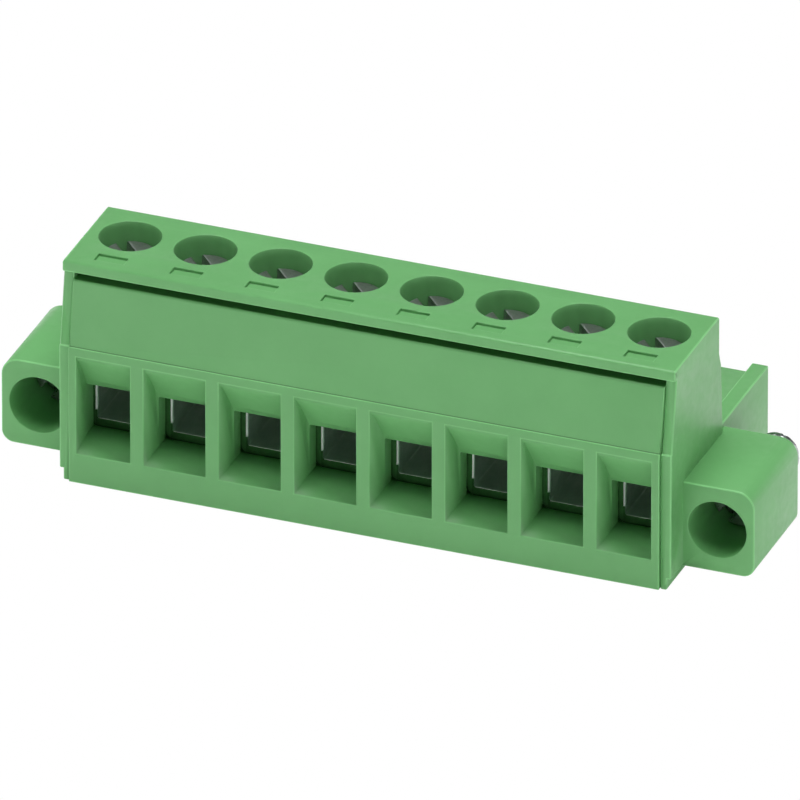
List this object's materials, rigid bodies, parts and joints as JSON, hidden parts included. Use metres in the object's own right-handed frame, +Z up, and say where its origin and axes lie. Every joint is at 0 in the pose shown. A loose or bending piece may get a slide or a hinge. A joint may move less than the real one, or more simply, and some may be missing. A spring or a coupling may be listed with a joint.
{
  "type": "pluggable terminal block",
  "caption": "Pluggable screw terminal block: a row of wire entries with rising clamp cages, a socket nose for the board half, and a captive fixing screw in an ear at each end.",
  "frame": {"origin": "on the flat underside, below the middle of the row of clamping screws", "axes": "+X along the row, +Y from the wire entries towards the nose that plugs into the board half, +Z up towards the driver holes"},
  "size_m": [0.0508, 0.0181, 0.0152],
  "materials": {
    "housing_green": "satin mid-green polyamide moulding with a fine spark-eroded texture",
    "cover_green": "satin mid-green polyamide moulding",
    "cage_steel": "zinc-plated steel strip, dull grey inside, bright at the edges",
    "clamp_screw_steel": "dull grey zinc-plated steel",
    "contact_metal": "tin-plated copper alloy",
    "fixing_screw_steel": "bright nickel-plated steel"
  },
  "bodies": {
    "housing": {"housing": "housing_green", "wire_cover": "cover_green", "contact_1": "contact_metal", "contact_2": "contact_metal", "contact_3": "contact_metal", "contact_4": "contact_metal", "contact_5": "contact_metal", "contact_6": "contact_metal", "contact_7": "contact_metal", "contact_8": "contact_metal"},
    "cage_1": {"clamp_cage_1": "cage_steel"},
    "screw_1": {"clamp_screw_1": "clamp_screw_steel"},
    "cage_2": {"clamp_cage_2": "cage_steel"},
    "screw_2": {"clamp_screw_2": "clamp_screw_steel"},
    "cage_3": {"clamp_cage_3": "cage_steel"},
    "screw_3": {"clamp_screw_3": "clamp_screw_steel"},
    "cage_4": {"clamp_cage_4": "cage_steel"},
    "screw_4": {"clamp_screw_4": "clamp_screw_steel"},
    "cage_5": {"clamp_cage_5": "cage_steel"},
    "screw_5": {"clamp_screw_5": "clamp_screw_steel"},
    "cage_6": {"clamp_cage_6": "cage_steel"},
    "screw_6": {"clamp_screw_6": "clamp_screw_steel"},
    "cage_7": {"clamp_cage_7": "cage_steel"},
    "screw_7": {"clamp_screw_7": "clamp_screw_steel"},
    "cage_8": {"clamp_cage_8": "cage_steel"},
    "screw_8": {"clamp_screw_8": "clamp_screw_steel"},
    "left_fixing": {"left_fixing_screw": "fixing_screw_steel"},
    "right_fixing": {"right_fixing_screw": "fixing_screw_steel"}
  },
  "joints": [
    {"name": "clamp_screw_1_turn", "type": "hinge", "parent": "housing", "child": "screw_1", "pos_m": [-0.01778, 0, 0.01], "axis": [0, 0, -1], "range_deg": [0, 1800]},
    {"name": "clamp_cage_1_rise", "type": "slide", "parent": "housing", "child": "cage_1", "axis": [0, 0, 1], "range_m": [0, 0.0025]},
    {"name": "clamp_screw_2_turn", "type": "hinge", "parent": "housing", "child": "screw_2", "pos_m": [-0.0127, 0, 0.01], "axis": [0, 0, -1], "range_deg": [0, 1800]},
    {"name": "clamp_cage_2_rise", "type": "slide", "parent": "housing", "child": "cage_2", "axis": [0, 0, 1], "range_m": [0, 0.0025]},
    {"name": "clamp_screw_3_turn", "type": "hinge", "parent": "housing", "child": "screw_3", "pos_m": [-0.00762, 0, 0.01], "axis": [0, 0, -1], "range_deg": [0, 1800]},
    {"name": "clamp_cage_3_rise", "type": "slide", "parent": "housing", "child": "cage_3", "axis": [0, 0, 1], "range_m": [0, 0.0025]},
    {"name": "clamp_screw_4_turn", "type": "hinge", "parent": "housing", "child": "screw_4", "pos_m": [-0.00254, 0, 0.01], "axis": [0, 0, -1], "range_deg": [0, 1800]},
    {"name": "clamp_cage_4_rise", "type": "slide", "parent": "housing", "child": "cage_4", "axis": [0, 0, 1], "range_m": [0, 0.0025]},
    {"name": "clamp_screw_5_turn", "type": "hinge", "parent": "housing", "child": "screw_5", "pos_m": [0.00254, 0, 0.01], "axis": [0, 0, -1], "range_deg": [0, 1800]},
    {"name": "clamp_cage_5_rise", "type": "slide", "parent": "housing", "child": "cage_5", "axis": [0, 0, 1], "range_m": [0, 0.0025]},
    {"name": "clamp_screw_6_turn", "type": "hinge", "parent": "housing", "child": "screw_6", "pos_m": [0.00762, 0, 0.01], "axis": [0, 0, -1], "range_deg": [0, 1800]},
    {"name": "clamp_cage_6_rise", "type": "slide", "parent": "housing", "child": "cage_6", "axis": [0, 0, 1], "range_m": [0, 0.0025]},
    {"name": "clamp_screw_7_turn", "type": "hinge", "parent": "housing", "child": "screw_7", "pos_m": [0.0127, 0, 0.01], "axis": [0, 0, -1], "range_deg": [0, 1800]},
    {"name": "clamp_cage_7_rise", "type": "slide", "parent": "housing", "child": "cage_7", "axis": [0, 0, 1], "range_m": [0, 0.0025]},
    {"name": "clamp_screw_8_turn", "type": "hinge", "parent": "housing", "child": "screw_8", "pos_m": [0.01778, 0, 0.01], "axis": [0, 0, -1], "range_deg": [0, 1800]},
    {"name": "clamp_cage_8_rise", "type": "slide", "parent": "housing", "child": "cage_8", "axis": [0, 0, 1], "range_m": [0, 0.0025]},
    {"name": "left_fixing_screw_turn", "type": "hinge", "parent": "housing", "child": "left_fixing", "pos_m": [-0.02286, 0, 0.00368], "axis": [0, 1, 0], "continuous": true},
    {"name": "right_fixing_screw_turn", "type": "hinge", "parent": "housing", "child": "right_fixing", "pos_m": [0.02286, 0, 0.00368], "axis": [0, 1, 0], "continuous": true}
  ],
  "couplings": [
    {"joint": "clamp_screw_1_turn", "follows": "clamp_cage_1_rise", "rad_per_m": 12566},
    {"joint": "clamp_screw_2_turn", "follows": "clamp_cage_2_rise", "rad_per_m": 12566},
    {"joint": "clamp_screw_3_turn", "follows": "clamp_cage_3_rise", "rad_per_m": 12566},
    {"joint": "clamp_screw_4_turn", "follows": "clamp_cage_4_rise", "rad_per_m": 12566},
    {"joint": "clamp_screw_5_turn", "follows": "clamp_cage_5_rise", "rad_per_m": 12566},
    {"joint": "clamp_screw_6_turn", "follows": "clamp_cage_6_rise", "rad_per_m": 12566},
    {"joint": "clamp_screw_7_turn", "follows": "clamp_cage_7_rise", "rad_per_m": 12566},
    {"joint": "clamp_screw_8_turn", "follows": "clamp_cage_8_rise", "rad_per_m": 12566}
  ]
}
